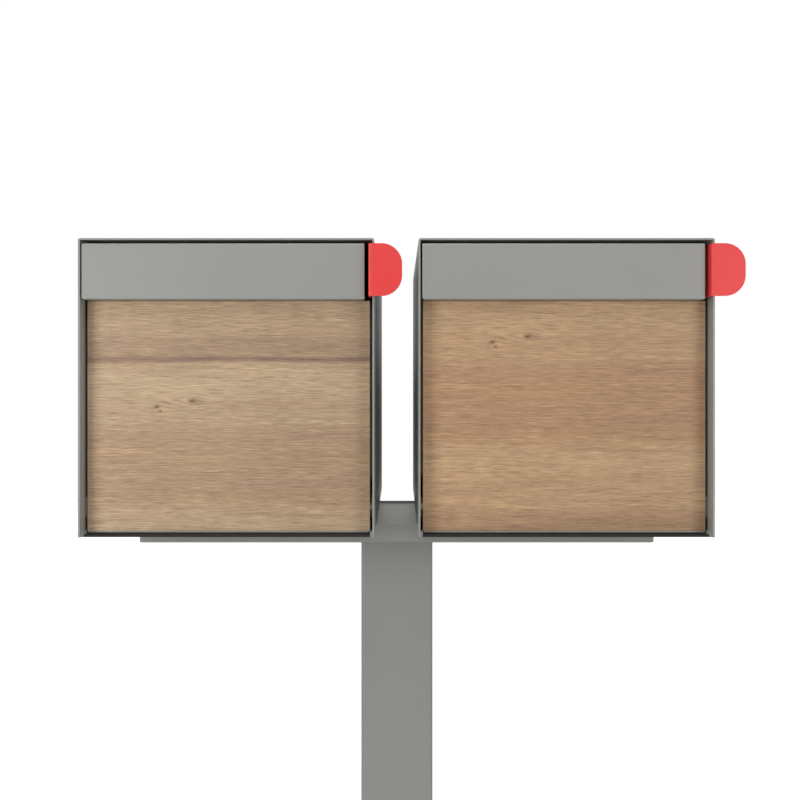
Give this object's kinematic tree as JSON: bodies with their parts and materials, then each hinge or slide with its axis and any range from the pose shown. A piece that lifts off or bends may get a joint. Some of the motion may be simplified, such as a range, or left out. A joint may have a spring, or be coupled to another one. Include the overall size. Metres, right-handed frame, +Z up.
{
  "type": "cluster mailbox unit",
  "caption": "Curbside mailboxes side by side on one post: folded-steel boxes with drop-down oak-faced doors and slide-out red flags on a shared tray bracket.",
  "frame": {"origin": "on the ground at the centre of the base plate's underside, below the post's centre line", "axes": "+Z up along the post, +X to the right of someone facing the doors, -Y towards that person"},
  "size_m": [0.808, 0.5178, 1.431],
  "materials": {
    "grey_paint": "fine satin powder coat, warm mid grey",
    "oak": "matt light oak, grain running across",
    "red_paint": "satin signal-red paint",
    "steel": "zinc-plated fasteners and small fittings",
    "black_rubber": "matt black seal and sill trim",
    "black_plastic": "matt moulded housing",
    "white_nylon": "matt natural nylon"
  },
  "bodies": {
    "stand": {"left_shell": "grey_paint", "left_floor_pan": "grey_paint", "left_sill_trim": "black_rubber", "left_back_panel": "grey_paint", "left_door_jamb": "grey_paint", "left_door_seal": "black_rubber", "left_hinge_plates": "grey_paint", "left_hinge_pins": "steel", "left_hinge_clips": "steel", "left_door_stops": "grey_paint", "left_catch_bracket": "grey_paint", "left_catch_body": "black_plastic", "left_catch_magnet": "steel", "left_catch_screws": "steel", "left_flag_guide": "white_nylon", "left_flag_guide_studs": "steel", "left_mount_bolts": "steel", "left_mount_spacers": "steel", "left_mount_washers": "steel", "left_mount_nuts": "steel", "right_shell": "grey_paint", "right_floor_pan": "grey_paint", "right_sill_trim": "black_rubber", "right_back_panel": "grey_paint", "right_door_jamb": "grey_paint", "right_door_seal": "black_rubber", "right_hinge_plates": "grey_paint", "right_hinge_pins": "steel", "right_hinge_clips": "steel", "right_door_stops": "grey_paint", "right_catch_bracket": "grey_paint", "right_catch_body": "black_plastic", "right_catch_magnet": "steel", "right_catch_screws": "steel", "right_flag_guide": "white_nylon", "right_flag_guide_studs": "steel", "right_mount_bolts": "steel", "right_mount_spacers": "steel", "right_mount_washers": "steel", "right_mount_nuts": "steel", "tray_bracket": "grey_paint", "post_tube": "grey_paint", "base_weld": "grey_paint", "base_plate": "grey_paint"},
    "left_door": {"left_door_pan": "grey_paint", "left_door_wood_panel": "oak", "left_door_band": "grey_paint", "left_door_panel_screws": "steel", "left_door_bushings": "white_nylon", "left_strike_plate": "steel"},
    "left_flag": {"left_flag": "red_paint", "left_flag_stop_pin": "steel"},
    "right_door": {"right_door_pan": "grey_paint", "right_door_wood_panel": "oak", "right_door_band": "grey_paint", "right_door_panel_screws": "steel", "right_door_bushings": "white_nylon", "right_strike_plate": "steel"},
    "right_flag": {"right_flag": "red_paint", "right_flag_stop_pin": "steel"}
  },
  "joints": [
    {"name": "left_door_hinge", "type": "hinge", "parent": "stand", "child": "left_door", "pos_m": [-0.207, -0.2253, 1.1002], "axis": [1, 0, 0], "range_deg": [0, 90]},
    {"name": "left_flag_slide", "type": "slide", "parent": "stand", "child": "left_flag", "axis": [0, -1, 0], "range_m": [0, 0.06]},
    {"name": "right_door_hinge", "type": "hinge", "parent": "stand", "child": "right_door", "pos_m": [0.207, -0.2253, 1.1002], "axis": [1, 0, 0], "range_deg": [0, 90]},
    {"name": "right_flag_slide", "type": "slide", "parent": "stand", "child": "right_flag", "axis": [0, -1, 0], "range_m": [0, 0.06]}
  ]
}
